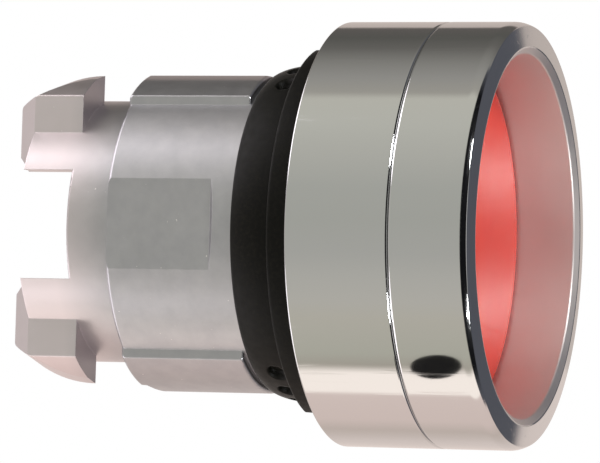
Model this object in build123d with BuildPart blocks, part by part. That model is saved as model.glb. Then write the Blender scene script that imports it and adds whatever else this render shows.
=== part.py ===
"""Push-button head for a 22.5 mm panel hole: zinc barrel, chrome bezel, high guard ring, recessed cap.

The button's axis is Y. The operator stands at -Y, the inside of the panel is at +Y and +Z is up.
The origin is the centre of the panel's front face, which the gasket's lip rests on.
Every place along the axis is a distance ahead of the panel, so a value behind it is negative.
"""
from build123d import *
import os

os.makedirs("parts", exist_ok=True)

# ---- overall sizes (mm) ----
barrel_diameter = 22.0       # across the two ribs, to pass a 22.5 mm hole
barrel_length = 12.27        # panel face to the step in front of the locking groove
bezel_overhang = 3.5         # bezel radius beyond the rib radius
bezel_ring_length = 7.10
guard_length = 5.55
cap_recess = 4.1             # guard's front edge to the cap's face
travel = 4.3                 # full stroke of the cap

# ---- clearances ----
slip = 0.05                  # radial, between pieces that run in each other
snug = 0.02                  # radial, between pieces that are pushed together and stay
cap_gap = 0.2                # radial, cap to guard bore
foot_gap = 0.3               # radial, plunger foot to barrel bore
end_gap = 0.15               # axial, left when the cap is fully down
stop_gap = 0.05              # axial, foot to its stop at rest

# ---- barrel casting ----
rib_height = 0.5             # rib above the barrel's cylinder
rib_width = 12.84
rib_start = -3.5             # front end of the ribs, just behind the gasket
crown_drop = 0.38            # flat along the crown of the upper rib and of both lugs
relief_drop = 0.35           # low rear end of the lower rib, under the rib radius
relief_length = 0.5
relief_slope = 0.35
flat_width = 6.1             # side flats
flat_start = -4.6
flat_run_out = 0.3           # sloping front end of each flat
tube_step = 1.45             # barrel cylinder down to the rear tube
tube_wall = 1.95
groove_width = 3.33          # locking groove between barrel step and lugs
prong_length = 3.5
prong_gap = 7.4              # open sides between the two prongs
lug_length = 4.9
lug_width = 4.0              # from the rib's -X side inwards; the rest of the prong is open
lug_tip_drop = 1.8           # fall of the lug's ramp from its crown to the lug's rear end
lug_tilt = 0.226             # fall of the same ramp for each mm towards the lug's -X side
lug_tip_round = 0.5
lug_corner_length = 1.35     # cut-off rear corners of the lug, along the axis
lug_corner_width = 1.1       # the same, across
cast_round = 0.25            # edge rounding of the casting
rib_edge_round = 0.15
key_width = 3.0
key_depth = 0.5
key_front = -9.3             # closed end of the two keyways
head_wall = 1.25
head_floor = 1.0
head_front = 7.0
pocket_wall = 1.3            # around the spring pocket
neck_rear = 0.6              # the neck under the bezel starts inside the gasket
web_front = -1.5
web_thickness = 3.0

# ---- bezel, guard and gasket ----
lip_thickness = 1.85
lip_inset = 1.65             # gasket lip inside the bezel's edge
lip_flat_drop = 0.55         # flats at the lip's top and bottom
bezel_wall = 1.1
bezel_web = 0.8
edge_break = 0.15            # chamfers on turned edges and at the parting groove
rim_wall_top = 1.7           # guard's wall at its front edge
guard_round_length = 0.7     # rounding of the guard's outer front edge, along the axis
guard_round_depth = 0.25     # the same, in radius
rim_slope = 0.2              # rise of the rim face towards its inner edge
rim_fillet = 0.4
mouth_depth = 4.2            # flared part of the guard's bore
mouth_flare = 0.35
collar_height = 0.6          # gasket collar above the rib radius
collar_flat = 1.7
collar_length = 3.2
collar_tail = 0.2            # gasket's rear edge above the barrel's cylinder
seat_relief = 0.3
dimple_count = 6             # pockets in each of the two groups, at the collar's top and bottom
dimple_pitch = 12.86         # degrees
dimple_radius = 0.8
dimple_lift = 0.3            # dimple centre outside the collar's surface
dimple_place = -1.15
oring_groove = 0.65
oring_place = 4.9

# ---- moving pieces ----
cap_thickness = 1.2
cap_skirt = 1.2
cap_edge = 0.45
carrier_thickness = 1.1
carrier_boss_length = 2.5
carrier_boss_wall = 2.6
clip_pocket_gap = 2.0        # pocket wall to stem tip
clip_pocket_depth = 0.7
clip_thickness = 0.5
clip_band = 1.1
clip_slot = 1.6
stem_radius = 4.0
stem_tip_step = 1.0          # stem to its front tip, in radius
stem_collar_step = 0.8       # stem to its collar, in radius
stem_collar_length = 0.7
stem_rear = -9.5
screw_core_radius = 1.25
screw_radius = 1.5
screw_depth = 5.0
bush_wall = 1.2
bush_flange_step = 1.05      # bush to its flange, in radius
bush_flange = 0.8
seal_length = 1.8
seal_lip_wall = 0.7
seal_channel = 1.2
retainer_thickness = 0.8
retainer_hole_gap = 1.0      # stem to the retainer's hole
stop_overlap = 0.6           # foot's neck over the retainer, in radius
ring_thickness = 0.8
ring_gap = 4.0
foot_rear = -15.2
foot_wall = 1.3
foot_floor = 1.5
foot_rib = 1.2
washer_thickness = 0.4
washer_radius = 3.0
screw_head_radius = 2.75
screw_head_length = 1.7
screw_slot_width = 0.8
screw_slot_depth = 0.8

# ---- spring ----
spring_wire = 0.65
spring_turns = 4.9
spring_gap = 0.4             # coil to pocket wall
spring_seat = 0.4            # thickness of the steel seat washer
seat_inner_gap = 0.2

# ---- places worked out from the sizes above ----
rib_radius = barrel_diameter / 2
barrel_radius = rib_radius - rib_height
tube_radius = barrel_radius - tube_step
bore_radius = tube_radius - tube_wall
crown_height = rib_radius - crown_drop
ramp_height = crown_height + (rib_width / 2 - lug_width) * lug_tilt
pocket_radius = barrel_radius - pocket_wall
neck_radius = rib_radius + slip
bezel_radius = rib_radius + bezel_overhang
bezel_bore = bezel_radius - bezel_wall
head_radius = bezel_bore - slip
cup_radius = head_radius - head_wall
guard_bore = cup_radius - slip * 2
cap_radius = guard_bore - cap_gap
rim_inner_radius = bezel_radius - rim_wall_top

step_place = -barrel_length
tube_end = step_place - groove_width
lug_end = tube_end - lug_length
bezel_rear = lip_thickness
head_rear = bezel_rear + bezel_web
floor_front = head_rear + head_floor
parting = bezel_rear + bezel_ring_length
front = parting + guard_length
cap_face = front - cap_recess
cap_back = cap_face - cap_thickness
carrier_back = cap_back - carrier_thickness
skirt_rear = max(carrier_back, floor_front + travel + end_gap)
boss_rear = carrier_back - carrier_boss_length
web_rear = web_front - web_thickness
seal_rear = web_rear - seal_length
retainer_rear = seal_rear - retainer_thickness
ring_rear = retainer_rear - ring_thickness
foot_front = retainer_rear - stop_gap
foot_radius = bore_radius - foot_gap
foot_floor_rear = stem_rear - foot_floor
stem_hole = stem_radius + slip
stem_tip_radius = stem_radius - stem_tip_step
stem_collar_radius = stem_radius + stem_collar_step
carrier_boss_radius = stem_tip_radius + carrier_boss_wall
clip_pocket_radius = stem_tip_radius + clip_pocket_gap
bush_flange_radius = stem_hole + bush_wall + bush_flange_step
retainer_hole_radius = stem_radius + retainer_hole_gap
foot_neck = retainer_hole_radius + stop_overlap
ring_inner = (foot_neck + bore_radius) / 2

# The section plane of the turned pieces: first coordinate ahead of the panel, second coordinate radius.
SECTION = Plane(origin=(0, 0, 0), x_dir=(0, -1, 0), z_dir=(-1, 0, 0))


def across(ahead):
    """The plane across the axis at a distance ahead of the panel, facing the operator."""
    return Plane.XZ.offset(ahead)


def band(rear, front_end, inner, outer):
    """A rectangle in the section plane, from one place to another along the axis and between two radii."""
    with BuildSketch(SECTION) as sketch:
        with Locations(((rear + front_end) / 2, (inner + outer) / 2)):
            Rectangle(front_end - rear, outer - inner)
    return sketch.sketch


def outline(*points, rounds=()):
    """A closed shape in the section plane, with the corners listed in rounds rounded to their radii."""
    with BuildSketch(SECTION) as sketch:
        with BuildLine():
            Polyline(*points, close=True)
        make_face()
        for corner, radius in rounds:
            fillet(sketch.vertices().sort_by_distance(corner)[0], radius)
    return sketch.sketch


def rod_section(ahead, radius):
    """A round wire's section in the section plane."""
    with BuildSketch(SECTION) as sketch:
        with Locations(ahead):
            Circle(radius)
    return sketch.sketch


def write(builder, name):
    """Label a finished piece and write its STEP file."""
    builder.part.label = name
    export_step(builder.part, f"parts/{name}.step")


# ---- barrel: ribs, lugs, then the casting they belong to ----
with BuildPart() as ribs:
    with BuildSketch(across(step_place)):
        Circle(rib_radius)
        Circle(barrel_radius - rib_height, mode=Mode.SUBTRACT)
        Rectangle(rib_width, 2 * rib_radius, mode=Mode.INTERSECT)
    extrude(amount=rib_start - step_place)
    rib_edges = ribs.faces().filter_by(Axis.Y).edges().filter_by(GeomType.CIRCLE)
    fillet(rib_edges.filter_by(lambda edge: edge.radius > barrel_radius), cast_round)
    fillet(ribs.edges().filter_by(Axis.Y).filter_by(lambda edge: abs(edge.center().Z) > barrel_radius * 0.8),
           rib_edge_round)
    # the upper rib's crown is flat, the lower rib's rear end is relieved
    with BuildSketch(SECTION):
        with Locations(((step_place + rib_start) / 2, crown_height + rib_height)):
            Rectangle(rib_start - step_place, 2 * rib_height)
        with BuildLine():
            relief_height = rib_radius - relief_drop
            relief_end = step_place + relief_length
            Polyline(
                (step_place, -relief_height),
                (relief_end, -relief_height),
                (relief_end + relief_slope, -rib_radius),
                (relief_end + relief_slope, -rib_radius - rib_height),
                (step_place, -rib_radius - rib_height),
                close=True,
            )
        make_face()
    extrude(amount=rib_width / 2, both=True, mode=Mode.SUBTRACT)

with BuildPart() as lugs:
    with BuildSketch(SECTION):
        with Locations(((lug_end + tube_end) / 2, (prong_gap / 2 + crown_height) / 2)):
            Rectangle(lug_length, crown_height - prong_gap / 2)
    extrude(amount=rib_width / 2)
    # the ramp starts level at the front face, and falls to the rear and to the -X side
    with BuildSketch(SECTION) as ramp_cut:
        with BuildLine():
            ramp_end = (lug_end, ramp_height - lug_tip_drop)
            Polyline(
                (tube_end, ramp_height),
                (tube_end, ramp_height + rib_height),
                (lug_end - lug_tip_round, ramp_height + rib_height),
                (lug_end - lug_tip_round, prong_gap / 2),
                (lug_end, prong_gap / 2),
                ramp_end,
            )
            TangentArc((tube_end, ramp_height), ramp_end, tangent=(-1, 0))
        make_face()
        fillet(ramp_cut.vertices().sort_by_distance(ramp_end)[0], lug_tip_round)
    extrude(amount=rib_width, dir=(-1, 0, -lug_tilt), mode=Mode.SUBTRACT)
    # seen from above, the rear outer corner is cut off
    with BuildSketch(Plane.XY):
        with BuildLine():
            Polyline(
                (lug_width - rib_width / 2, -tube_end),
                (-rib_width / 2, -tube_end),
                (-rib_width / 2, -lug_end - lug_corner_length),
                (lug_corner_width - rib_width / 2, -lug_end),
                (lug_width - rib_width / 2, -lug_end),
                close=True,
            )
        make_face()
    extrude(amount=rib_radius, mode=Mode.INTERSECT)
    mirror(about=Plane.XY)
    revolve(band(lug_end, tube_end, 0, rib_radius), axis=Axis.Y, mode=Mode.INTERSECT)
    shoulder_edges = lugs.edges().filter_by(Axis.Y)
    fillet(shoulder_edges.filter_by(lambda edge: abs(edge.center().Z) > barrel_radius / 2), rib_edge_round)

with BuildPart() as barrel:
    revolve(
        outline(
            (tube_end, 0),
            (tube_end, tube_radius),
            (step_place, tube_radius),
            (step_place, barrel_radius),
            (neck_rear, barrel_radius),
            (neck_rear, neck_radius),
            (head_rear, neck_radius),
            (head_rear, head_radius),
            (head_front, head_radius),
            (head_front, 0),
            rounds=(
                ((step_place, barrel_radius), cast_round),
                ((tube_end, tube_radius), edge_break),
            ),
        ),
        axis=Axis.Y,
    )
    # side flats, which run out in a short slope
    flat_place = (barrel_radius**2 - (flat_width / 2) ** 2) ** 0.5
    with BuildSketch(Plane.XY):
        with BuildLine():
            Polyline(
                (flat_place, -step_place),
                (flat_place, -flat_start + flat_run_out),
                (barrel_radius, -flat_start),
                (bezel_radius, -flat_start),
                (bezel_radius, -step_place),
                close=True,
            )
        make_face()
        mirror(about=Plane.YZ)
    extrude(amount=flat_width / 2, both=True, mode=Mode.SUBTRACT)
    add(ribs.part)
    # prongs
    with BuildSketch(across(tube_end + groove_width / 2)):
        Circle(tube_radius)
        Rectangle(2 * rib_radius, prong_gap, mode=Mode.SUBTRACT)
    extrude(amount=-prong_length - groove_width / 2)
    add(lugs.part)
    # core: rear bore, bush hole, spring pocket and cup
    revolve(
        outline(
            (lug_end - travel, 0),
            (lug_end - travel, bore_radius),
            (web_rear, bore_radius),
            (web_rear, stem_hole + bush_wall + snug),
            (web_front, stem_hole + bush_wall + snug),
            (web_front, pocket_radius),
            (floor_front, pocket_radius),
            (floor_front, cup_radius),
            (head_front + travel, cup_radius),
            (head_front + travel, 0),
        ),
        axis=Axis.Y,
        mode=Mode.SUBTRACT,
    )
    # O-ring groove round the head, snap-ring groove and keyways in the bore
    revolve(band(oring_place - oring_groove, oring_place + oring_groove, head_radius - oring_groove,
                 head_radius + slip), axis=Axis.Y, mode=Mode.SUBTRACT)
    revolve(band(ring_rear, retainer_rear, bore_radius - slip, bore_radius + key_depth),
            axis=Axis.Y, mode=Mode.SUBTRACT)
    with BuildSketch(across(tube_end)):
        Rectangle(2 * (bore_radius + key_depth), key_width)
    extrude(amount=key_front - tube_end, mode=Mode.SUBTRACT)
write(barrel, "barrel")

# ---- bezel: the rear ring holds the barrel's head, the guard ring plugs into it ----
with BuildPart() as bezel_ring:
    revolve(
        outline(
            (bezel_rear, neck_radius + slip),
            (bezel_rear, bezel_radius),
            (parting, bezel_radius),
            (parting, bezel_bore),
            (head_rear, bezel_bore),
            (head_rear, neck_radius + slip),
        ),
        axis=Axis.Y,
    )
    chamfer(bezel_ring.edges().filter_by(GeomType.CIRCLE).group_by(lambda edge: edge.radius)[-1], edge_break)
write(bezel_ring, "bezel_ring")

with BuildPart() as guard_ring:
    with BuildSketch(SECTION) as guard_section:
        with BuildLine():
            shoulder = (front - guard_round_length, bezel_radius)
            rim_outer = (front - rim_slope, bezel_radius - guard_round_depth)
            rim_inner = (front, rim_inner_radius)
            mouth_foot = (front - mouth_depth, guard_bore)
            mouth_top = (front - rim_fillet, guard_bore + mouth_flare)
            Polyline(
                mouth_foot,
                (head_front, guard_bore),
                (head_front, head_radius),
                (parting, head_radius),
                (parting, bezel_radius - edge_break),
                (parting + edge_break, bezel_radius),
                shoulder,
            )
            SagittaArc(shoulder, rim_outer, -guard_round_depth / 4)
            Line(rim_outer, rim_inner)
            RadiusArc(rim_inner, mouth_top, -rim_fillet * 1.5)
            Line(mouth_top, mouth_foot)
        make_face()
    revolve(axis=Axis.Y)
    # groove for the O-ring on the spigot
    spigot_middle = (head_front + parting) / 2
    revolve(band(spigot_middle - oring_groove, spigot_middle + oring_groove, head_radius - oring_groove,
                 head_radius + slip), axis=Axis.Y, mode=Mode.SUBTRACT)
write(guard_ring, "guard_ring")

oring_wire = (bezel_bore - head_radius + oring_groove) / 2
oring_centre = bezel_bore - oring_wire
with BuildPart() as head_oring:
    revolve(rod_section((oring_place, oring_centre), oring_wire), axis=Axis.Y)
write(head_oring, "head_oring")

with BuildPart() as guard_oring:
    revolve(rod_section((spigot_middle, oring_centre), oring_wire), axis=Axis.Y)
write(guard_oring, "guard_oring")

# ---- gasket: a lip in front of the panel, a collar that is squeezed into the hole ----
collar_radius = rib_radius + collar_height
lip_radius = bezel_radius - lip_inset
lip_flat_height = lip_radius - lip_flat_drop
tail_radius = barrel_radius + collar_tail
with BuildPart() as panel_gasket:
    with BuildSketch(SECTION):
        with BuildLine():
            relief_end = (0, collar_radius + seat_relief)
            Polyline(
                relief_end,
                (0, lip_radius),
                (lip_thickness, lip_radius),
                (lip_thickness, neck_radius + snug),
                (neck_rear, neck_radius + snug),
                (neck_rear, barrel_radius + snug),
                (-collar_length, barrel_radius + snug),
                (-collar_length, tail_radius),
            )
            SagittaArc((-collar_length, tail_radius), (-collar_flat, collar_radius), -collar_height / 3)
            Polyline(
                (-collar_flat, collar_radius),
                (seat_relief, collar_radius),
                (seat_relief, collar_radius + seat_relief),
                relief_end,
            )
        make_face()
    revolve(axis=Axis.Y)
    with BuildSketch(across(-collar_length)):
        Rectangle(2 * lip_radius, 2 * lip_flat_height)
    extrude(amount=lip_thickness + collar_length, mode=Mode.INTERSECT)
    with Locations(across(dimple_place)):
        for middle in (90, 270):
            first = middle - dimple_pitch * (dimple_count - 1) / 2
            turn = dimple_pitch * dimple_count
            with PolarLocations(collar_radius + dimple_lift, dimple_count, first, turn):
                Sphere(dimple_radius, mode=Mode.SUBTRACT)
write(panel_gasket, "panel_gasket")

# ---- stem guide and seal in the barrel ----
with BuildPart() as guide_bush:
    revolve(
        outline(
            (web_rear, stem_hole),
            (web_rear, stem_hole + bush_wall),
            (web_front, stem_hole + bush_wall),
            (web_front, bush_flange_radius),
            (web_front + bush_flange, bush_flange_radius),
            (web_front + bush_flange, stem_hole),
            rounds=(((web_front + bush_flange, bush_flange_radius), edge_break),),
        ),
        axis=Axis.Y,
    )
write(guide_bush, "guide_bush")

with BuildPart() as stem_seal:
    revolve(
        outline(
            (web_rear, stem_hole),
            (web_rear, bore_radius - snug),
            (seal_rear, bore_radius - snug),
            (seal_rear, bore_radius - seal_lip_wall),
            (web_rear - seal_length + seal_channel, bore_radius - seal_lip_wall * 2),
            (web_rear - seal_length + seal_channel, stem_hole + seal_lip_wall * 2),
            (seal_rear, stem_hole + seal_lip_wall),
            (seal_rear, stem_hole),
        ),
        axis=Axis.Y,
    )
write(stem_seal, "stem_seal")

with BuildPart() as seal_retainer:
    revolve(band(retainer_rear, seal_rear, retainer_hole_radius, bore_radius - snug), axis=Axis.Y)
write(seal_retainer, "seal_retainer")

with BuildPart() as snap_ring:
    ring_outer = bore_radius + key_depth - slip
    revolve(band(ring_rear + slip, retainer_rear, ring_inner, ring_outer), axis=Axis.Y)
    with BuildSketch(across(ring_rear)):
        with Locations((0, -ring_outer)):
            Rectangle(ring_gap, 2 * ring_outer - 2 * foot_neck)
    extrude(amount=ring_thickness, mode=Mode.SUBTRACT)
write(snap_ring, "snap_ring")

# ---- cap, carrier and their clip ----
with BuildPart() as push_cap:
    revolve(
        outline(
            (cap_face, 0),
            (cap_back, 0),
            (cap_back, cap_radius - cap_skirt),
            (skirt_rear, cap_radius - cap_skirt),
            (skirt_rear, cap_radius),
            (cap_face, cap_radius),
            rounds=(((cap_face, cap_radius), cap_edge),),
        ),
        axis=Axis.Y,
    )
write(push_cap, "push_cap")

clip_seat = cap_back - clip_pocket_depth
clip_groove_radius = stem_tip_radius - clip_thickness / 2
with BuildPart() as cap_carrier:
    revolve(
        outline(
            (cap_back, clip_pocket_radius),
            (cap_back, cap_radius - cap_skirt - slip),
            (carrier_back, cap_radius - cap_skirt - slip),
            (carrier_back, carrier_boss_radius),
            (boss_rear, carrier_boss_radius),
            (boss_rear, stem_tip_radius + snug),
            (clip_seat, stem_tip_radius + snug),
            (clip_seat, clip_pocket_radius),
            rounds=(((boss_rear, carrier_boss_radius), cast_round),),
        ),
        axis=Axis.Y,
    )
write(cap_carrier, "cap_carrier")

with BuildPart() as carrier_clip:
    revolve(band(clip_seat, clip_seat + clip_thickness, clip_groove_radius + snug,
                 clip_groove_radius + clip_band), axis=Axis.Y)
    with BuildSketch(across(clip_seat)):
        with Locations((0, -stem_tip_radius)):
            Rectangle(clip_slot, 2 * clip_band)
    extrude(amount=clip_thickness, mode=Mode.SUBTRACT)
write(carrier_clip, "carrier_clip")

# ---- stem and foot ----
with BuildPart() as plunger_stem:
    revolve(
        outline(
            (stem_rear, 0),
            (stem_rear, stem_radius),
            (boss_rear - stem_collar_length, stem_radius),
            (boss_rear - stem_collar_length, stem_collar_radius),
            (boss_rear, stem_collar_radius),
            (boss_rear, stem_tip_radius),
            (clip_seat, stem_tip_radius),
            (clip_seat, clip_groove_radius),
            (clip_seat + clip_thickness, clip_groove_radius),
            (clip_seat + clip_thickness, stem_tip_radius - edge_break),
            (cap_back - slip, stem_tip_radius - edge_break),
            (cap_back - slip, 0),
            rounds=(((stem_rear, stem_radius), edge_break),),
        ),
        axis=Axis.Y,
    )
    revolve(band(stem_rear, stem_rear + screw_depth + slip, 0, screw_radius + snug), axis=Axis.Y,
            mode=Mode.SUBTRACT)
write(plunger_stem, "plunger_stem")

with BuildPart() as plunger_foot:
    foot_shoulder = key_front - end_gap
    revolve(
        outline(
            (foot_front, stem_radius + snug),
            (foot_front, foot_neck),
            (foot_shoulder, foot_neck),
            (foot_shoulder, foot_radius),
            (foot_rear, foot_radius),
            (foot_rear, foot_radius - foot_wall),
            (foot_floor_rear, foot_radius - foot_wall),
            (foot_floor_rear, screw_radius + snug),
            (stem_rear, screw_radius + snug),
            (stem_rear, stem_radius + snug),
            rounds=(
                ((foot_rear, foot_radius), edge_break),
                ((foot_rear, foot_radius - foot_wall), edge_break),
            ),
        ),
        axis=Axis.Y,
    )
    # two keys that run in the barrel's keyways
    with BuildSketch(across(foot_rear + edge_break)):
        Rectangle(2 * (bore_radius + key_depth - end_gap), key_width - 2 * end_gap)
        Circle(foot_radius - foot_wall / 2, mode=Mode.SUBTRACT)
    extrude(amount=foot_shoulder - foot_rear - edge_break)
    # four ribs across the hollow rear, clear of the screw head
    with BuildSketch(across(foot_floor_rear)):
        for turn in (45, 135):
            with Locations(Rotation(0, 0, turn)):
                Rectangle(2 * foot_radius - foot_wall, foot_rib)
        Circle(washer_radius + foot_rib / 2, mode=Mode.SUBTRACT)
    extrude(amount=foot_rear + foot_wall - foot_floor_rear)
write(plunger_foot, "plunger_foot")

washer_rear = foot_floor_rear - washer_thickness
with BuildPart() as screw_washer:
    revolve(band(washer_rear, foot_floor_rear, screw_radius + slip, washer_radius), axis=Axis.Y)
write(screw_washer, "screw_washer")

head_end = washer_rear - screw_head_length
with BuildPart() as stem_screw:
    revolve(
        outline(
            (head_end, 0),
            (head_end, screw_head_radius),
            (washer_rear, screw_head_radius),
            (washer_rear, screw_radius),
            (stem_rear + screw_depth, screw_radius),
            (stem_rear + screw_depth, 0),
            rounds=(((head_end, screw_head_radius), screw_head_length / 3),),
        ),
        axis=Axis.Y,
    )
    with BuildSketch(across(head_end)):
        Rectangle(2 * screw_radius, screw_slot_width)
        Rectangle(screw_slot_width, 2 * screw_radius)
    extrude(amount=screw_slot_depth, mode=Mode.SUBTRACT)
write(stem_screw, "stem_screw")

# ---- return spring and its steel seat ----
seat_front = web_front + spring_seat
coil_radius = pocket_radius - spring_gap - spring_wire / 2
with BuildPart() as spring_washer:
    revolve(band(web_front, seat_front, bush_flange_radius + seat_inner_gap, pocket_radius - slip),
            axis=Axis.Y)
write(spring_washer, "spring_washer")

coil_start = seat_front + spring_wire / 2
coil_length = carrier_back - seat_front - spring_wire
with BuildPart() as return_spring:
    with BuildLine() as coil:
        Helix(
            coil_length / spring_turns,
            coil_length,
            coil_radius,
            center=(0, -coil_start, 0),
            direction=(0, -1, 0),
        )
    with BuildSketch(Plane(origin=coil.line @ 0, z_dir=coil.line % 0)):
        Circle(spring_wire / 2)
    sweep(is_frenet=True)
write(return_spring, "return_spring")
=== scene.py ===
# %% [markdown]
# # A push-button head, finished in Blender
# The model is a chromed push-button head for a control panel: a zinc barrel with two locking
# lugs, a black rubber gasket, a chromed bezel, a high guard ring and a red cap that sits deep
# inside it. The shapes that fit and move come from a CAD model, which is loaded as a fixed frame.
# Blender adds the finishes, and makes again the pieces whose look depends on fine edges: bright
# chrome shows every facet of a coarse mesh.

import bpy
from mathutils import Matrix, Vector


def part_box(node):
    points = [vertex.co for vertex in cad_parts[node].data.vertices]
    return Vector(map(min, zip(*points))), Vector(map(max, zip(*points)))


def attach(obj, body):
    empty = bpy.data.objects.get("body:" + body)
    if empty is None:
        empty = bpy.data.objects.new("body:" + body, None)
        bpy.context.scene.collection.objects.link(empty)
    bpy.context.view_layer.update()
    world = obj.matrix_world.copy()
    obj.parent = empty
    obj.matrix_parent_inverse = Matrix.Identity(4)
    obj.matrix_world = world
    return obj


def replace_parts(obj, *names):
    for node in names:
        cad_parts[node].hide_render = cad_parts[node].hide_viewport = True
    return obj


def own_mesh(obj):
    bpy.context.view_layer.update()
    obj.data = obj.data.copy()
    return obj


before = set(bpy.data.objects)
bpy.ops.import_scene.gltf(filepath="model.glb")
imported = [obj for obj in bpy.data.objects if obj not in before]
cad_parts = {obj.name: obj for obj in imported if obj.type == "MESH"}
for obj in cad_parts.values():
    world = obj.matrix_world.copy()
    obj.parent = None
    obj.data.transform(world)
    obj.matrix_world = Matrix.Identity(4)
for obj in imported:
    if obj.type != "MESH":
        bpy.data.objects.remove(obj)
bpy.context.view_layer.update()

# %% [markdown]
# ## Measures
# Everything is in metres. The button's axis is Y, the operator stands at -Y and +Z is up. A place
# along the axis is given as a distance ahead of the panel's face, so it is minus the Y
# coordinate. The ends of each piece are read from the CAD model's boxes, and only the sizes that
# no box shows are written here, in millimetres.

# %% Millimetres and the CAD model's own sizes
import math

import bmesh
import bpy
import numpy as np
from mathutils import Matrix, Vector

MM = 0.001


def ends(node):
    """Rear and front end of a CAD node, ahead of the panel, and its largest radius, in mm."""
    low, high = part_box(node)
    return -high.y / MM, -low.y / MM, high.x / MM


bezel_rear, parting, bezel_radius = ends("bezel_ring")
spigot_rear, front, _ = ends("guard_ring")
gasket_rear, lip_front, lip_radius = ends("panel_gasket")
cap_rear, cap_face, cap_radius = ends("push_cap")
spring_rear, spring_front, spring_radius = ends("return_spring")
print("bezel radius", round(bezel_radius, 3), "front edge", round(front, 3))
print("cap face", round(cap_face, 3), "gasket back", round(gasket_rear, 3))

# %% [markdown]
# ## Small helpers for materials
# Colours are written as the hex values that a colour picker shows. Those are sRGB, and Blender's
# shaders work in linear light, so one function turns them over. Node trees are long to write by
# hand, so one more function adds a node with its settings, values and links in a single call.

# %% Colour and node helpers
def linear(colour):
    """sRGB hex to linear RGBA: c / 12.92 up to 0.04045, ((c + 0.055) / 1.055) ** 2.4 above."""
    srgb = np.array([int(colour[i : i + 2], 16) for i in (1, 3, 5)]) / 255
    value = np.where(srgb <= 0.04045, srgb / 12.92, ((srgb + 0.055) / 1.055) ** 2.4)
    return (*value, 1.0)


def add_node(tree, kind, values=None, **settings):
    """Adds a node. Each value is an input's plain value, or another node's output to link."""
    node = tree.nodes.new("ShaderNode" + kind)
    for name, setting in settings.items():
        setattr(node, name, setting)
    for name, value in (values or {}).items():
        if isinstance(value, bpy.types.NodeSocket):
            tree.links.new(value, node.inputs[name])
        else:
            node.inputs[name].default_value = value
    return node


def new_material(name, **values):
    """A material with one Principled shader. Returns it, its node tree and the shader."""
    material = bpy.data.materials.new(name)
    material.use_nodes = True
    shader = material.node_tree.nodes["Principled BSDF"]
    for socket, value in values.items():
        shader.inputs[socket.replace("_", " ")].default_value = value
    return material, material.node_tree, shader


print("a mid grey, #808080, is", round(float(linear("#808080")[0]), 3), "in linear light")

# %% [markdown]
# Real surfaces are never even: what the eye reads as a material is mostly small patches of tone,
# of gloss and of height. Here all of them come from one kind of pattern, noise, whose size is
# given in real millimetres. It lies in Object coordinates, so it stays on the piece when the
# piece moves. Three more functions lay a pattern on the shader's colour, its roughness and its
# normal.

# %% Patterns for tone, gloss and height
MIDDLE = (0.3, 0.7)           # where nearly all of the noise lies


def grain(tree, size_mm, detail=2.0, stretch=(1, 1, 1), shown=(0.0, 1.0), roughness=0.6):
    """A noise pattern from 0 to 1, with lumps about size_mm across.

    Shown is the part of the noise that goes from 0 to 1: a narrow, high one keeps only its thin
    peaks. A small stretch along an axis draws the lumps out into lines along it.
    """
    place = add_node(tree, "TexCoord").outputs["Object"]
    drawn = add_node(tree, "Mapping", {"Vector": place, "Scale": stretch}).outputs["Vector"]
    noise = add_node(tree, "TexNoise", {"Vector": drawn, "Scale": 1 / (size_mm * MM),
                                        "Detail": detail, "Roughness": roughness})
    part = add_node(tree, "MapRange", {"Value": noise.outputs["Fac"],
                                       "From Min": shown[0], "From Max": shown[1]})
    return part.outputs["Result"]


def tint(tree, shader, pattern, dark, light):
    """Base colour that goes from dark to light with the pattern."""
    values = {"Factor": pattern, 6: linear(dark), 7: linear(light)}
    mix = add_node(tree, "Mix", values, data_type="RGBA")
    tree.links.new(mix.outputs[2], shader.inputs["Base Color"])


def dull(tree, shader, pattern, low, high):
    """Roughness that goes from low to high with the pattern."""
    value = add_node(tree, "MapRange", {"Value": pattern, "To Min": low, "To Max": high})
    tree.links.new(value.outputs["Result"], shader.inputs["Roughness"])


def relief(tree, shader, *layers, normal=None):
    """Bumps, each on top of the one before. A layer is a pattern and its full height in mm."""
    for pattern, height_mm in layers:
        values = {"Height": pattern, "Distance": height_mm * MM, "Strength": 1.0}
        if normal is not None:
            values["Normal"] = normal
        normal = add_node(tree, "Bump", values).outputs["Normal"]
    tree.links.new(normal, shader.inputs["Normal"])


print("patterns for tone, gloss and height are ready; the middle of the noise is", MIDDLE)

# %% [markdown]
# ## Studio
# The button hangs in a light tent: a white floor below, a pale backdrop behind, a grey wall on
# the camera's side and a dark gap above. Polished chrome has almost no colour of its own, so the
# picture in it *is* the tent, and the tent is drawn as the world's light by direction. Looking
# along the axis, the direction's angle round the axis picks a colour from a ramp. Towards the
# operator the tent is open and dark. The camera itself sees plain white behind the object. Lamps
# could do this too, but sharp-edged walls are what chrome needs.

# %% The tent's colours round the axis
CHROME_REFLECTANCE = 0.62     # the share of light that the chrome gives back
TENT = (                      # degrees round the axis, 0 the camera's side and 90 up, and colour
    (-180, "#c0b4ae"), (-150, "#beb2ac"), (-134, "#b3a69e"), (-122, "#c6b5ae"), (-99, "#cbbab3"),
    (-97, "#f1e6dd"), (-83, "#f1e6dd"), (-78, "#9c968b"), (-70, "#a4a296"), (-49, "#aaa69b"),
    (-39, "#aaa79f"), (-26, "#a6a49d"), (-13, "#9f9e98"), (5, "#9c9c95"), (22, "#9e9e97"),
    (40, "#a7a69e"), (58, "#aeada4"), (75, "#b0aea4"), (79, "#95928a"), (90, "#8b8984"),
    (102, "#7c7a75"), (117, "#5e5c58"), (130, "#504f4b"), (146, "#54504d"), (149, "#a89d97"),
    (180, "#aaa09a"),
)


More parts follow.
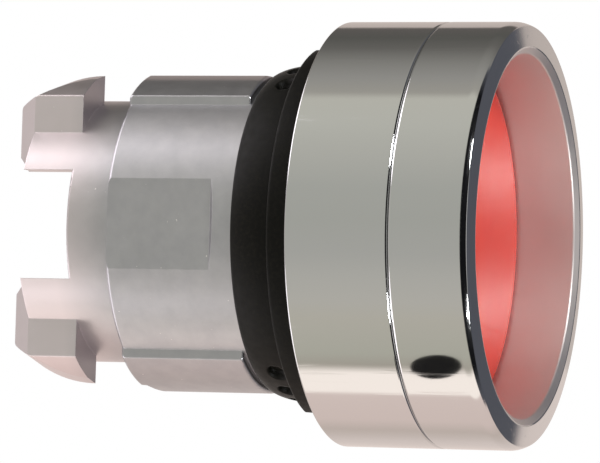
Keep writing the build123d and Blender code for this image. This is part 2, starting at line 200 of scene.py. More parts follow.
# Each wall's start and end, as the part of the direction's unit vector along Y:
OPENING = (-0.28, -0.31)      # the side walls stop here, and the tent is open
FRONT_CARD = (-0.93, -0.97)   # a small pale card straight ahead of the cap
REAR_CARD = (0.55, 0.85)      # the tent's back
OPENING_SIDES = (-0.15, 0.15)     # along X: from the camera's side of the opening to the other


def tent_world(name):
    """A world whose light depends on the direction alone: one wall is painted over another."""
    world = bpy.data.worlds.new(name)
    world.use_nodes = True
    tree = world.node_tree
    tree.nodes.clear()
    direction = add_node(tree, "TexCoord").outputs["Generated"]
    along = add_node(tree, "SeparateXYZ", {"Vector": direction}).outputs
    away = add_node(tree, "Math", {0: along["X"], 1: -1.0}, operation="MULTIPLY").outputs[0]
    angle = add_node(tree, "Math", {0: along["Z"], 1: away}, operation="ARCTAN2").outputs[0]
    turn = add_node(tree, "MapRange", {"Value": angle, "From Min": -math.pi, "From Max": math.pi})
    ramp = add_node(tree, "ValToRGB", {"Fac": turn.outputs[0]})
    stops = ramp.color_ramp.elements
    while len(stops) < len(TENT):
        stops.new(0.5)
    for stop, (degrees, colour) in zip(stops, TENT):
        stop.position = (degrees + 180) / 360
        stop.color = linear(colour)
    first, last = OPENING_SIDES
    across = add_node(tree, "MapRange", {"Value": along["X"], "From Min": first, "From Max": last})
    values = {"Factor": across.outputs[0], 6: linear("#111113"), 7: linear("#4b4c52")}
    gap = add_node(tree, "Mix", values, data_type="RGBA").outputs[2]
    walls = ((OPENING, gap), (FRONT_CARD, linear("#b4b2b0")), (REAR_CARD, linear("#a8a4a0")))
    paint = ramp.outputs["Color"]
    for (first, last), colour in walls:
        share = add_node(tree, "MapRange", {"Value": along["Y"], "From Min": first,
                                            "From Max": last})
        values = {"Factor": share.outputs[0], 6: paint, 7: colour}
        paint = add_node(tree, "Mix", values, data_type="RGBA").outputs[2]
    lit = add_node(tree, "Background", {"Color": paint, "Strength": 1 / CHROME_REFLECTANCE})
    plain_white = add_node(tree, "Background", {"Color": (1, 1, 1, 1), "Strength": 1.0})
    seen = add_node(tree, "LightPath").outputs["Is Camera Ray"]
    both = add_node(tree, "MixShader", {"Fac": seen, 1: lit.outputs[0], 2: plain_white.outputs[0]})
    add_node(tree, "OutputWorld", {"Surface": both.outputs[0]})
    return world


scene = bpy.context.scene
scene.world = tent_world("light_tent")
scene.view_settings.view_transform = "Standard"
print("tent with", len(TENT), "colours")

# %% [markdown]
# Satin metal blurs what it reflects, so its highlights come from soft lamps. Two stand behind the
# button, above and below, where the bezel's mirror doesn't catch them, and two in front light the
# red cap in its recess. A floor below keeps the button from hanging in a void. It lets the lamps'
# light through, as a glass table does, and mirrors don't see it.

# %% Lamps and floor
def soft_lamp(name, place, target, size, watts, colour="#ffffff"):
    """A square lamp at place, in metres, which faces target."""
    lamp = bpy.data.objects.new(name, bpy.data.lights.new(name, "AREA"))
    lamp.data.size = size
    lamp.data.energy = watts
    lamp.data.color = linear(colour)[:3]
    lamp.location = place
    lamp.rotation_euler = (Vector(target) - lamp.location).to_track_quat("-Z", "Y").to_euler()
    lamp.visible_camera = False
    scene.collection.objects.link(lamp)


def floor_plate(height, side):
    """A flat square floor at a height."""
    half = side / 2
    corners = [(x * half, y * half, height) for x, y in ((-1, -1), (1, -1), (1, 1), (-1, 1))]
    mesh = bpy.data.meshes.new("floor")
    mesh.from_pydata(corners, [], [(0, 1, 2, 3)])
    floor = bpy.data.objects.new("floor", mesh)
    scene.collection.objects.link(floor)
    paper, tree, shader = new_material("floor_paper", Roughness=0.9)
    tint(tree, shader, grain(tree, 30, shown=MIDDLE), "#efedea", "#f6f5f3")
    mesh.materials.append(paper)
    floor.visible_glossy = False
    floor.visible_shadow = False
    return floor


BARREL_MIDDLE = (0, 0.008, 0)           # metres
soft_lamp("lamp_rear_top", (-0.10, 0.30, 0.26), BARREL_MIDDLE, 0.30, 0.75, "#f6eef6")
soft_lamp("lamp_rear_bottom", (-0.12, 0.30, -0.24), BARREL_MIDDLE, 0.30, 0.5, "#f6eef6")
RECESS_MIDDLE = (0, -0.013, 0)          # metres
soft_lamp("lamp_front_top", (-0.20, -0.26, 0.22), RECESS_MIDDLE, 0.08, 0.75)
soft_lamp("lamp_front_bottom", (-0.20, -0.26, -0.22), RECESS_MIDDLE, 0.08, 0.65)
FLOOR_DROP = 6.0              # mm of clear space under the bezel
FLOOR_SIDE = 3.0              # metres
floor = floor_plate((-bezel_radius - FLOOR_DROP) * MM, FLOOR_SIDE)
print("floor at", round(floor.data.vertices[0].co.z / MM, 1), "mm")

# %% [markdown]
# A studio's flag is a black card that takes light away. A small black disc, below the guard ring
# and on the camera's side, leaves a dark oval in the polished chrome. Only mirrors see it.

# %% Black flag
FLAG_CENTRE = (-13.1, -8.8, -18.0)      # mm
FLAG_HALF_X, FLAG_HALF_Y = 2.1, 1.8
FLAG_POINTS = 48


def black_flag():
    """A flat oval: centre + (half size x * cos a, half size y * sin a, 0)."""
    angle = np.linspace(0, 2 * math.pi, FLAG_POINTS, endpoint=False)
    oval = np.stack([FLAG_HALF_X * np.cos(angle), FLAG_HALF_Y * np.sin(angle), 0 * angle], -1)
    mesh = bpy.data.meshes.new("black_flag")
    mesh.from_pydata(((oval + FLAG_CENTRE) * MM).tolist(), [], [tuple(range(FLAG_POINTS))])
    flock, _, _ = new_material("black_flock", Base_Color=linear("#030303"), Roughness=1.0)
    mesh.materials.append(flock)
    flag = bpy.data.objects.new("black_flag", mesh)
    scene.collection.objects.link(flag)
    flag.visible_camera = flag.visible_shadow = flag.visible_diffuse = False


black_flag()
print("flag", 2 * FLAG_HALF_X, "by", 2 * FLAG_HALF_Y, "mm")

# %% [markdown]
# The camera looks at the button from its left side, 18 degrees ahead of square and a little from
# below, from 350 mm away with a long lens, as a catalogue picture is taken.

# %% Camera
AZIMUTH, ELEVATION, ROLL = -72.0, -3.1, 1.68     # degrees
DISTANCE = 0.350                                 # metres
AIM_LEFT, AIM_UP = 3.538, 0.199                  # mm from the point that the camera circles
LENS, SENSOR = 307.2, 36.0                       # mm


def camera_axes(azimuth, elevation, roll):
    """Right, up and back of a camera that circles the origin. Azimuth 0 looks along +Y."""
    turn, lift, tip = (math.radians(a) for a in (azimuth, elevation, roll))
    flat = math.cos(lift)
    back = Vector((math.sin(turn) * flat, -math.cos(turn) * flat, math.sin(lift)))
    level = Vector((0, 0, 1)).cross(back).normalized()
    upright = back.cross(level)
    right = math.cos(tip) * level + math.sin(tip) * upright
    return right, back.cross(right), back


def add_camera():
    right, up, back = camera_axes(AZIMUTH, ELEVATION, ROLL)
    centre = Vector((0, -bezel_rear * MM, 0))
    place = centre + back * DISTANCE
    target = centre + (up * AIM_UP - right * AIM_LEFT) * MM
    facing = (place - target).normalized()
    side = up.cross(facing).normalized()
    camera = bpy.data.objects.new("camera", bpy.data.cameras.new("camera"))
    camera.data.sensor_width = SENSOR
    camera.data.lens = LENS
    camera.data.clip_start = 0.01
    axes = Matrix((side, facing.cross(side), facing)).transposed()
    camera.matrix_world = Matrix.Translation(place) @ axes.to_4x4()
    scene.collection.objects.link(camera)
    scene.camera = camera
    return camera


camera = add_camera()
print("camera at", [round(c / MM, 1) for c in camera.location], "mm")

# %% [markdown]
# ## Turned pieces
# The bezel, the guard ring and the cap come off a lathe or out of a round mould. Each is a
# profile turned about the Y axis. Real edges are never sharp: a rounding of a few hundredths of a
# millimetre catches a line of light. So a profile is a list of corners, each with its own small
# radius, and the arcs are worked out from them. The profile also gives the exact normal at every
# point. Handing those to the mesh keeps mirror-like flats truly flat, where averaged normals
# would bend the reflection next to each edge.

# %% Rounded profiles
def rounded_profile(corners, closed=True, arc_points=6):
    """Points and outward normals of a polygon with rounded corners.

    Each corner is (ahead, radius, rounding). The arc at a corner starts where the rounding's
    tangent length, r * tan(half the turn), is left to the corner. Its points are
    centre + r * (cos, sin) at even angles.
    """
    table = np.array(corners, float)
    points, normals = [], []
    for i, (ahead, radius, rounding) in enumerate(table):
        here = np.array((ahead, radius))
        before = table[i - 1, :2] if closed or i else here
        after = table[(i + 1) % len(table), :2] if closed or i < len(table) - 1 else here
        arriving = unit(here - before) if closed or i else unit(after - here)
        leaving = unit(after - here) if closed or i < len(table) - 1 else arriving
        turn = math.atan2(arriving[0] * leaving[1] - arriving[1] * leaving[0], arriving @ leaving)
        side = math.copysign(1.0, turn)
        start = here - arriving * rounding * math.tan(abs(turn) / 2)
        centre = start + side * rounding * left_of(arriving)
        share = np.linspace(0, 1, arc_points if abs(turn) > 1e-6 and rounding > 0 else 1)
        heading = math.atan2(arriving[1], arriving[0]) + share * turn
        outward = np.stack([np.sin(heading), -np.cos(heading)], -1)
        points.append(centre + side * rounding * outward)
        normals.append(outward)
    return np.concatenate(points), np.concatenate(normals)


def unit(vector):
    return vector / np.linalg.norm(vector)


def left_of(vector):
    """The vector turned a quarter turn to its left."""
    return np.array((-vector[1], vector[0]))


square = [(0, 0, 0.1), (1, 0, 0.1), (1, 1, 0.1), (0, 1, 0.1)]
print("a square with rounded corners has", len(rounded_profile(square)[0]), "points")

# %% [markdown]
# A turned surface is a grid: one direction follows the profile, the other goes round the axis.
# The point at (ahead, radius) and angle a is (radius * cos a, -ahead, radius * sin a). Where a
# profile starts or ends on the axis, its ring of points is merged into one pole. The signed
# volume of the finished shape tells whether the faces point outwards, and they are turned over if
# it is negative.

# %% Turned meshes
def grid_faces(rows, columns, wrap_rows):
    """Quads between neighbouring rows and columns of a grid whose columns close into a circle."""
    row = np.arange(rows if wrap_rows else rows - 1)[:, None]
    column = np.arange(columns)[None, :]
    below, right = (row + 1) % rows, (column + 1) % columns
    quads = np.stack([row * columns + column, row * columns + right, below * columns + right,
                      below * columns + column], -1)
    return quads.reshape(-1, 4)


def signed_volume(points, quads):
    """Sum of the tetrahedra from the origin to each triangle: a . (b x c) / 6."""
    triangles = np.concatenate([quads[:, [0, 1, 2]], quads[:, [0, 2, 3]]])
    a, b, c = points[triangles].transpose(1, 0, 2)
    return np.einsum("ij,ij->i", a, np.cross(b, c)).sum() / 6


def surface_piece(name, points, quads, normals=None, face_slots=None):
    """A mesh object from arrays in metres, smooth shaded, with its faces turned outwards."""
    volume = signed_volume(points, quads)
    if volume < 0:
        quads = quads[:, ::-1]
    mesh = bpy.data.meshes.new(name)
    mesh.from_pydata(points.tolist(), [], quads.tolist())
    mesh.polygons.foreach_set("use_smooth", np.ones(len(quads), bool))
    if face_slots is not None:
        mesh.polygons.foreach_set("material_index", face_slots.astype(np.int32))
    if normals is not None:
        mesh.normals_split_custom_set_from_vertices(normals.tolist())
    piece = bpy.data.objects.new(name, mesh)
    scene.collection.objects.link(piece)
    print(name, len(quads) * 2, "triangles", round(abs(volume) * 1e9, 1), "mm3")
    return piece


def turned_arrays(profile, normals, segments):
    """Grid points and normals of a profile, in mm, turned about the Y axis, in metres."""
    angle = np.linspace(0, 2 * math.pi, segments, endpoint=False)
    ahead, radius = profile[:, :1], profile[:, 1:]
    shape = (len(profile), segments)
    back = np.broadcast_to(-ahead, shape)
    points = np.stack([radius * np.cos(angle), back, radius * np.sin(angle)], -1)
    forward, outward = normals[:, :1], normals[:, 1:]
    back = np.broadcast_to(-forward, shape)
    directions = np.stack([outward * np.cos(angle), back, outward * np.sin(angle)], -1)
    return points.reshape(-1, 3) * MM, directions.reshape(-1, 3)


def turned_ring(name, corners, segments=256, slot_of=None, arc_points=6):
    """A ring turned from a closed profile. slot_of gives a face's material from its middle."""
    profile, outward = rounded_profile(corners, arc_points=arc_points)
    if polygon_area(profile) < 0:
        outward = -outward
    points, normals = turned_arrays(profile, outward, segments)
    quads = grid_faces(len(profile), segments, wrap_rows=True)
    slots = None
    if slot_of is not None:
        following = np.roll(profile, -1, axis=0)
        slots = np.repeat(slot_of((profile + following) / 2), segments)
    return surface_piece(name, points, quads, normals, slots)


def polygon_area(profile):
    """Signed area of a closed profile: half the sum of x1 * y2 - x2 * y1."""
    x, y = profile.T
    return 0.5 * (x * np.roll(y, -1) - np.roll(x, -1) * y).sum()


print("the rounded square's area is", round(polygon_area(rounded_profile(square)[0]), 3))

# %% [markdown]
# ## Bright chrome
# The bezel is zinc, polished and plated with bright chrome: a metal with a nearly neutral,
# faintly cool colour and a very low roughness. A handled one isn't perfect. Cloudy wiping marks
# change its roughness by a few hundredths, and hair-fine scratches run mostly along the axis. A
# scratch is much too fine to see at this size, so it is drawn a little coarser: noise stretched
# along one direction and cut to its thin peaks.

# %% Chrome materials
def bright_chrome():
    """Chrome plate over polished zinc: mirror bright, with wiping marks and hair scratches."""
    material, tree, shader = new_material("bright_chrome_plate", Base_Color=linear("#cfd0d1"),
                                          Metallic=1.0)
    marks = grain(tree, 3.5, 4.0, (1, 0.6, 1), MIDDLE)
    scratches = grain(tree, 0.35, 1.0, (1, 0.05, 1), (0.66, 0.72), 0.5)
    wiped = add_node(tree, "MapRange", {"Value": marks, "To Min": 0.045, "To Max": 0.10})
    values = {0: scratches, 1: 0.06, 2: wiped.outputs["Result"]}
    worn = add_node(tree, "Math", values, operation="MULTIPLY_ADD").outputs[0]
    tree.links.new(worn, shader.inputs["Roughness"])
    relief(tree, shader, (grain(tree, 5.0, 0.0), 0.0015), (scratches, 0.0008))
    return material


def satin_chrome():
    """The guard's bore, plated without polishing: soft reflections, and fine lathe rings."""
    material, tree, shader = new_material("satin_chrome_plate", Base_Color=linear("#dfd9d7"),
                                          Metallic=1.0)
    dull(tree, shader, grain(tree, 3.0, 1.0, shown=MIDDLE), 0.46, 0.50)
    relief(tree, shader, (grain(tree, 0.3, 0.0, (0.02, 1, 0.02)), 0.0015))
    return material


chrome = bright_chrome()
satin = satin_chrome()
print("chrome:", chrome.name, "and", satin.name)

# %% [markdown]
# ## Bezel ring
# The rear half of the bezel is a cup with a hole in its floor. The barrel's head stands in the
# cup, and the floor presses the gasket onto the panel. It is made again as a turned piece,
# because its outside is the largest mirror on the object. Its inner sizes are the CAD model's: a
# 1.1 mm wall and a 0.8 mm floor.

# %% Make the bezel ring
BEZEL_WALL, BEZEL_FLOOR = 1.1, 0.8
BEZEL_HOLE = 11.1              # radius of the hole in that floor, round the barrel's neck
EDGE, FINE = 0.12, 0.05        # roundings in mm: worn outer edges, and machined ones
PARTING_EDGE = 0.2             # where bezel and guard meet in a fine groove


def make_bezel_ring():
    bore = bezel_radius - BEZEL_WALL
    floor_end = bezel_rear + BEZEL_FLOOR
    corners = [
        (bezel_rear, BEZEL_HOLE, FINE),
        (bezel_rear, bezel_radius, EDGE),
        (parting, bezel_radius, PARTING_EDGE),
        (parting, bore, FINE),
        (floor_end, bore, FINE),
        (floor_end, BEZEL_HOLE, FINE),
    ]
    piece = turned_ring("bezel_cup", corners)
    piece.data.materials.append(chrome)
    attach(piece, "housing")
    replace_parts(piece, "bezel_ring")


make_bezel_ring()

# %% [markdown]
# ## Guard ring
# The front half stands 4 mm proud of the cap, so that nothing presses it by accident. Its outer
# front edge is rounded over, a sloping rim leads in to a thin lip, and its bore is left satin.
# The two finishes are two materials on one mesh, chosen by where each strip of the profile lies.

# %% Make the guard ring
RIM_WALL = 1.7                 # wall at the front edge
LIP = 0.22                     # rounding of the lip where the rim turns into the bore
MOUTH_FLARE, MOUTH_DEPTH = 0.35, 4.2
RIM_SLOPE = 0.2
SHOULDER_LENGTH, SHOULDER_DEPTH = 0.7, 0.25
SHOULDER_ROUNDING, MOUTH_ROUNDING = 1.6, 3.0
GROOVE = 0.65                  # half width, and depth, of the O-ring groove
SPIGOT_FIT = 0.05              # clearance of the guard's spigot in the bezel
CAP_GAP = 0.2                  # clearance round the cap


def make_guard_ring():
    spigot = bezel_radius - BEZEL_WALL - SPIGOT_FIT
    bore = cap_radius + CAP_GAP
    rim_inner = bezel_radius - RIM_WALL
    middle = (spigot_rear + parting) / 2
    corners = [
        (spigot_rear, bore, FINE),
        (spigot_rear, spigot, FINE),
        (middle - GROOVE, spigot, FINE),
        (middle - GROOVE, spigot - GROOVE, FINE),
        (middle + GROOVE, spigot - GROOVE, FINE),
        (middle + GROOVE, spigot, FINE),
        (parting, spigot, FINE),
        (parting, bezel_radius, PARTING_EDGE),
        (front - SHOULDER_LENGTH, bezel_radius, SHOULDER_ROUNDING),
        (front - RIM_SLOPE, bezel_radius - SHOULDER_DEPTH, EDGE),
        (front, rim_inner, LIP),
        (front - LIP * 1.5, bore + MOUTH_FLARE, LIP),
        (front - MOUTH_DEPTH, bore, MOUTH_ROUNDING),
    ]

    def bore_is_satin(middles):
        inside_rim = middles[:, 1] < rim_inner - 0.02
        return inside_rim.astype(int)

    piece = turned_ring("guard_ring_polished", corners, slot_of=bore_is_satin, arc_points=8)
    piece.data.materials.append(chrome)
    piece.data.materials.append(satin)
    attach(piece, "housing")
    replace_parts(piece, "guard_ring")


make_guard_ring()

# %% [markdown]
# ## Black rubber gasket
# The gasket is moulded in black nitrile rubber. New rubber is almost black and gives back very
# little light, and what the eye sees of it is mostly its skin: a fine grain, a bloom of dust and
# a thin sheen at grazing angles.

# %% Rubber
def black_rubber():
    """Moulded nitrile rubber: near black, a dull sheen, a fine bloom of dust and a grained skin."""
    material, tree, shader = new_material("black_nitrile_rubber", IOR=1.52, Specular_IOR_Level=0.12,
                                          Sheen_Weight=0.10, Sheen_Roughness=0.25)
    tint(tree, shader, grain(tree, 0.25, 4.0, shown=(0.45, 0.75)), "#070704", "#14130d")
    dull(tree, shader, grain(tree, 0.5, 3.0, shown=MIDDLE), 0.42, 0.55)
    relief(tree, shader, (grain(tree, 0.12, 3.0), 0.006))
    return material


rubber = black_rubber()
print("rubber:", rubber.name)

# %% [markdown]
# The gasket's lip is squeezed between bezel and panel, and has a flat at its top and one at its
# bottom. Its collar fills the panel's hole, and short rows of oval pockets at the collar's top
# and bottom let the rubber give way. The whole skin is one grid: rows follow the section and
# columns go round. Each pocket pulls the surface inwards by a smooth step of the distance from
# the pocket's centre, measured in units of the pocket's half sizes.

# %% Make the gasket
POCKET_PITCH = math.radians(12.86)
POCKETS_EACH_SIDE = 3          # of the collar's top, and of its bottom
POCKET_HALF_LENGTH, POCKET_HALF_WIDTH = 0.72, 0.78
POCKET_DEPTH = 0.5
POCKET_PLACE = -1.15           # centre of the row, behind the panel's face
POCKET_WALL = 0.25             # width of a pocket's sloping wall, as a share of its half sizes
GASKET_BORE = 10.52            # a push fit on the barrel's cylinder
TAIL_RADIUS, COLLAR_RADIUS = 10.72, 11.6
NECK_RADIUS, NECK_START = 11.07, 0.6
SEAT_RELIEF = 0.3
LIP_FLAT = 12.3                # height of the flats on the lip's top and bottom
LIP_ROUNDING = 0.2
COLLAR_START, COLLAR_POINTS = 0.04, 46      # first angle and points of the collar's quarter ellipse
GASKET_COLUMNS = 560


def gasket_corners():
    """The gasket's section. Its collar's back is a quarter ellipse: length * cos u, rise * sin u."""
    u = np.linspace(COLLAR_START, math.pi / 2, COLLAR_POINTS)
    back = gasket_rear * np.cos(u)
    rise = TAIL_RADIUS + (COLLAR_RADIUS - TAIL_RADIUS) * np.sin(u)
    return [
        (0, COLLAR_RADIUS + SEAT_RELIEF, FINE),
        (0, lip_radius, LIP_ROUNDING),
        (lip_front, lip_radius, LIP_ROUNDING),
        (lip_front, NECK_RADIUS, FINE),
        (NECK_START, NECK_RADIUS, FINE),
        (NECK_START, GASKET_BORE, FINE),
        (gasket_rear, GASKET_BORE, FINE),
        (gasket_rear, TAIL_RADIUS, 0),
        *((place, radius, 0) for place, radius in zip(back, rise)),
        (SEAT_RELIEF, COLLAR_RADIUS, FINE),
        (SEAT_RELIEF, COLLAR_RADIUS + SEAT_RELIEF, FINE),
    ]


def pocket_share(ahead, radius, angle):
    """How deep a point lies in a pocket: 1 on the floor, 0 outside, by a smooth step.

    The step's input is the distance from the nearest pocket's centre, in half sizes. Round the
    collar it is measured from the vertical: the remainder after the pitch, less half a pitch,
    times the radius.
    """
    from_vertical = np.abs(np.arcsin(np.clip(np.cos(angle), -1, 1)))
    across = ((from_vertical % POCKET_PITCH) - POCKET_PITCH / 2) * radius / POCKET_HALF_WIDTH
    along = (ahead - POCKET_PLACE) / POCKET_HALF_LENGTH
    step = np.clip((1 - np.hypot(across, along)) / POCKET_WALL, 0, 1)
    in_row = from_vertical < POCKETS_EACH_SIDE * POCKET_PITCH
    on_collar = (radius > TAIL_RADIUS) & (ahead < 0)
    return on_collar * in_row * step**2 * (3 - 2 * step)


def lip_cut(radius, angle):
    """What the two flats take off the lip: its radius less flat / |sin angle|, or nothing.

    The sine is held above 0.1, where the flat is far outside the lip.
    """
    flat = LIP_FLAT / np.maximum(np.abs(np.sin(angle)), 0.1)
    on_lip = radius > lip_radius - LIP_ROUNDING - 0.01
    return on_lip * np.maximum(lip_radius - flat, 0)


def make_gasket():
    profile, _ = rounded_profile(gasket_corners())
    angle = np.linspace(0, 2 * math.pi, GASKET_COLUMNS, endpoint=False)[None, :]
    ahead, radius = profile[:, :1], profile[:, 1:]
    carved = radius - POCKET_DEPTH * pocket_share(ahead, radius, angle) - lip_cut(radius, angle)
    back = np.broadcast_to(-ahead, carved.shape)
    points = np.stack([carved * np.cos(angle), back, carved * np.sin(angle)], -1)
    quads = grid_faces(len(profile), GASKET_COLUMNS, wrap_rows=True)
    piece = surface_piece("gasket_moulded", points.reshape(-1, 3) * MM, quads)
    piece.data.materials.append(rubber)
    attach(piece, "housing")
    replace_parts(piece, "panel_gasket")


make_gasket()

# %% [markdown]
# ## Red cap
# The cap is moulded in glossy red polycarbonate, a strong colour right through the wall. A slight
# crown, a tenth of a millimetre high, and a rounded edge keep its face from looking like a flat
# sheet. The profile runs from pole to pole: up the inside, over the skirt's end, and back across
# the face.

# %% Make the cap
CAP_WALL = 1.2
CAP_EDGE = 0.45
CAP_CROWN = 0.12
CAP_CORNER = 0.15              # rounding inside, between face and skirt
INNER_RING = 0.6               # radius of the ring of points next to each pole
FACE_RINGS, BACK_RINGS = 12, 6      # rings of points across the face, and behind it
FACE_MARGIN, BACK_MARGIN = 1.0, 0.5     # from the outermost of them to the face's corners
CAP_SEGMENTS = 192


def red_plastic():
    """Polycarbonate, moulded glossy: a strong red with a faint orange-peel waviness."""
    material, tree, shader = new_material("red_polycarbonate", IOR=1.585, Specular_IOR_Level=0.35)
    tint(tree, shader, grain(tree, 6.0, 2.0, shown=MIDDLE), "#e02408", "#e62c0e")
    dull(tree, shader, grain(tree, 2.0, 3.0, shown=MIDDLE), 0.16, 0.24)
    relief(tree, shader, (grain(tree, 0.9, 1.0), 0.002))
    return material


def crowned(profile):
    """Lowers the face by crown * (radius / cap radius) squared, so that its middle stays."""
    ahead, radius = profile.T
    on_face = ahead > cap_face - CAP_EDGE
    return np.stack([ahead - on_face * CAP_CROWN * (radius / cap_radius) ** 2, radius], -1)


def make_cap():
    cap_back = cap_face - CAP_WALL
    face = np.linspace(cap_radius - FACE_MARGIN, INNER_RING, FACE_RINGS)
    inner = np.linspace(INNER_RING, cap_radius - CAP_WALL - BACK_MARGIN, BACK_RINGS)
    corners = [
        (cap_back, 0, 0),
        *((cap_back, radius, 0) for radius in inner),
        (cap_back, cap_radius - CAP_WALL, CAP_CORNER),
        (cap_rear, cap_radius - CAP_WALL, FINE),
        (cap_rear, cap_radius, FINE),
        (cap_face, cap_radius, CAP_EDGE),
        *((cap_face, radius, 0) for radius in face),
        (cap_face, 0, 0),
    ]
    profile, _ = rounded_profile(corners, closed=False)
    points, _ = turned_arrays(crowned(profile), profile, CAP_SEGMENTS)
    quads = grid_faces(len(profile), CAP_SEGMENTS, wrap_rows=False)
    piece = surface_piece("cap_red", points, quads)
    merge_poles(piece)
    piece.data.materials.append(red_plastic())
    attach(piece, "plunger")
    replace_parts(piece, "push_cap")


def merge_poles(piece):
    """Merges the rings of points that lie on the axis, and drops the faces that this empties."""
    shape = bmesh.new()
    shape.from_mesh(piece.data)
    bmesh.ops.remove_doubles(shape, verts=shape.verts, dist=1e-7)
    bmesh.ops.dissolve_degenerate(shape, edges=shape.edges, dist=1e-8)
    shape.to_mesh(piece.data)
    shape.free()


make_cap()

# %% [markdown]
# ## Return spring
# A steel coil pushes the cap back out. Its ends are closed, which means that the last turn at
# each end lies flat against its seat. So the wire's centre climbs slowly over the first and last
# turn and evenly in between. The wire is a circle carried along that path.

# %% Make the spring
WIRE = 0.65                    # mm thick
TURNS = 6.0
CLOSED_TURNS = 1.0             # at each end
AROUND_WIRE, STEPS_PER_TURN = 14, 64


def spring_climb(turn):
    """Height share of the coil: a closed turn rises by one wire, and the rest climbs evenly."""
    length = spring_front - spring_rear - WIRE
    closed = WIRE * 1.05       # a hair of air between the turns
    places = [0, CLOSED_TURNS, TURNS - CLOSED_TURNS, TURNS]
    heights = [0, closed, length - closed, length]
    return np.interp(turn, places, heights)


def spring_arrays():
    """A tube round the coil's centre line: centre + wire radius * (cos * outward + sin * ahead)."""
    turn = np.linspace(0, TURNS, int(TURNS * STEPS_PER_TURN) + 1)[:, None]
    around = np.linspace(0, 2 * math.pi, AROUND_WIRE, endpoint=False)[None, :]
    coil = spring_radius - WIRE / 2
    radius = coil + WIRE / 2 * np.cos(around)
    ahead = spring_rear + WIRE / 2 + spring_climb(turn) + WIRE / 2 * np.sin(around)
    angle = 2 * math.pi * turn
    points = np.stack([radius * np.cos(angle), -ahead, radius * np.sin(angle)], -1)
    return points.reshape(-1, 3) * MM


def make_spring(material):
    points = spring_arrays()
    rows = len(points) // AROUND_WIRE
    quads = grid_faces(rows, AROUND_WIRE, wrap_rows=False)
    centres = points.reshape(rows, AROUND_WIRE, 3)[[0, -1]].mean(axis=1)
    first, last = len(points), len(points) + 1
    ring = np.arange(AROUND_WIRE)
    following = (ring + 1) % AROUND_WIRE
    offset = (rows - 1) * AROUND_WIRE
    start = np.stack([np.full(AROUND_WIRE, first), following, ring, ring], -1)
    end = np.stack([np.full(AROUND_WIRE, last), ring, following, following], -1)
    end[:, 1:] += offset
    mesh_points = np.concatenate([points, centres])
    faces = [tuple(q) for q in quads.tolist()]
    caps = [tuple(q[:3]) for q in np.concatenate([start, end]).tolist()]
    if signed_volume(mesh_points, np.concatenate([quads, start, end])) < 0:
        faces = [q[::-1] for q in faces]
        caps = [q[::-1] for q in caps]
    mesh = bpy.data.meshes.new("return_spring_coil")
    mesh.from_pydata(mesh_points.tolist(), [], faces + caps)
    mesh.polygons.foreach_set("use_smooth", np.ones(len(mesh.polygons), bool))
    piece = bpy.data.objects.new("return_spring_coil", mesh)
    scene.collection.objects.link(piece)
    piece.data.materials.append(material)
    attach(piece, "housing")
    print(piece.name, len(faces) * 2, "triangles")
    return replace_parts(piece, "return_spring")


# %% [markdown]
# ## Die-cast zinc
# The barrel is cast under pressure in a polished steel die and then only tumbled, so it is a
# satin metal: lighter and warmer than chrome, with a blurred sheen. Its skin shows a very fine
# grain, cloudy patches where the metal cooled unevenly, and pin-head specks. The tube behind the
# step and the upper rib's crown are painted a little lighter: a painted highlight for the light
# that falls on them. A Bevel node softens the look of the sharp CAD edges.

# %% Zinc
# Painted highlight: bands where the zinc's colour is made lighter, on the rear tube and on the upper
# rib's crown, in place of light falling there.
TUBE_PAINTED_HIGHLIGHT = (12.5, 16.5)     # mm behind the panel: where the tube's brightness starts, is full
CROWN_PAINTED_HIGHLIGHT = (10.1, 10.3)    # mm above the axis: the same for the upper rib's crown
CAST_EDGE = 0.06               # mm, rounding of the casting's edges


def die_cast_zinc():
    """Tumbled zinc casting: satin, warm grey, finely grained, with soft clouds and a few specks."""
    material, tree, shader = new_material("satin_die_cast_zinc", Metallic=1.0)
    cloud = grain(tree, 1.2, 4.0, shown=MIDDLE)
    values = {"Factor": cloud, 6: linear("#b1b1b5"), 7: linear("#bababd")}
    skin = add_node(tree, "Mix", values, data_type="RGBA").outputs[2]
    coordinates = add_node(tree, "TexCoord").outputs["Object"]
    place = add_node(tree, "SeparateXYZ", {"Vector": coordinates}).outputs
    # Painted highlight: the colour is blended towards a light pinkish grey on the rear tube and the
    # upper rib's crown, standing in for light.
    painted_highlight = 0.0
    for axis, (start, full) in (("Y", TUBE_PAINTED_HIGHLIGHT), ("Z", CROWN_PAINTED_HIGHLIGHT)):
        share = add_node(tree, "MapRange", {"Value": place[axis], "From Min": start * MM,
                                            "From Max": full * MM}).outputs["Result"]
        painted_highlight = add_node(tree, "Math", {0: share, 1: painted_highlight}, operation="MAXIMUM").outputs[0]
    values = {"Factor": painted_highlight, 6: skin, 7: linear("#ddd4d6")}
    bright = add_node(tree, "Mix", values, data_type="RGBA").outputs[2]
    specks = grain(tree, 0.32, 2.0, shown=(0.74, 0.79))
    values = {"Factor": specks, 6: bright, 7: linear("#f4f0ee")}
    colour = add_node(tree, "Mix", values, data_type="RGBA").outputs[2]
    tree.links.new(colour, shader.inputs["Base Color"])
    dull(tree, shader, grain(tree, 0.8, 3.0, shown=MIDDLE), 0.34, 0.39)
    edge = add_node(tree, "Bevel", {"Radius": CAST_EDGE * MM}, samples=6).outputs["Normal"]
    fine, coarse = grain(tree, 0.16, 3.0), grain(tree, 1.1, 2.0)
    relief(tree, shader, (fine, 0.004), (coarse, 0.004), normal=edge)
    return material


def finish_node(name, material):
    """Gives a CAD node, whose shape stays as it is, its finished material."""
    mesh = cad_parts[name].data
    mesh.materials.clear()
    mesh.materials.append(material)


zinc = die_cast_zinc()
finish_node("barrel", zinc)
print("zinc:", zinc.name)

# %% [markdown]
# ## The pieces inside
# From behind, the foot of the plunger, its screw and washer, the seal and the snap ring can be
# seen down the barrel's bore. They are glass-filled nylon, plain steel and acetal, each with its
# own skin.

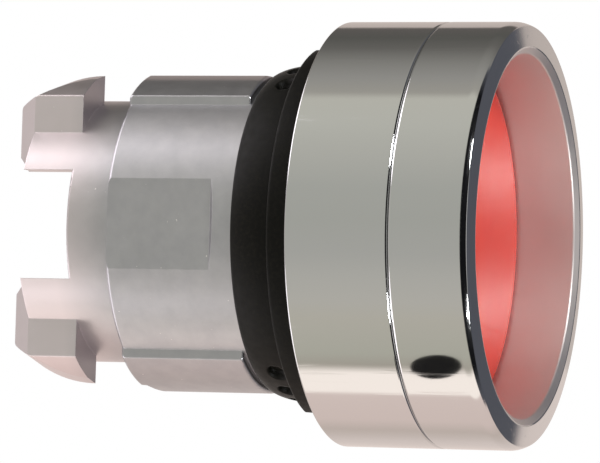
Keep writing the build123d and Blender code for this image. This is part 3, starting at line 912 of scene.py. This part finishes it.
# %% Inner finishes
def grey_nylon():
    """Glass-filled nylon: dull grey, faintly mottled by the fibres, with a fine moulded grain."""
    material, tree, shader = new_material("grey_glass_filled_nylon", IOR=1.53)
    tint(tree, shader, grain(tree, 0.8, 4.0, shown=MIDDLE), "#55575a", "#63656a")
    dull(tree, shader, grain(tree, 0.4, 2.0, shown=MIDDLE), 0.42, 0.58)
    relief(tree, shader, (grain(tree, 0.15, 3.0), 0.010))
    return material


def white_acetal():
    """Machined acetal: milky, slippery, lit from within, with faint tool rings."""
    material, tree, shader = new_material("white_acetal", IOR=1.48, Subsurface_Weight=0.15,
                                          Subsurface_Radius=(0.001, 0.001, 0.001))
    tint(tree, shader, grain(tree, 2.5, 2.0, shown=MIDDLE), "#e4e1d8", "#eeebe3")
    dull(tree, shader, grain(tree, 0.6, 2.0, shown=MIDDLE), 0.30, 0.40)
    relief(tree, shader, (grain(tree, 0.2, 1.0, (0.05, 1, 0.05)), 0.004))
    return material


def bright_steel():
    """Spring and fastener steel, lightly oiled: darker than chrome, with fine drawing marks."""
    material, tree, shader = new_material("spring_steel", Metallic=1.0)
    tint(tree, shader, grain(tree, 0.9, 3.0, shown=MIDDLE), "#a3a29f", "#b9b8b4")
    dull(tree, shader, grain(tree, 0.5, 3.0, shown=MIDDLE), 0.18, 0.32)
    relief(tree, shader, (grain(tree, 0.15, 2.0), 0.003))
    return material


nylon = grey_nylon()
acetal = white_acetal()
steel = bright_steel()
spring = make_spring(steel)
# Pressed right in, the coil keeps 0.533 of its length.
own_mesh(spring)
INNER_FINISHES = {
    "plunger_foot": nylon, "cap_carrier": nylon, "plunger_stem": acetal, "guide_bush": acetal,
    "stem_seal": rubber, "head_oring": rubber, "guard_oring": rubber, "seal_retainer": steel,
    "snap_ring": steel, "carrier_clip": steel, "screw_washer": steel, "stem_screw": steel,
    "spring_washer": steel,
}
for node, material in INNER_FINISHES.items():
    finish_node(node, material)
print("finished", len(INNER_FINISHES), "inner pieces")
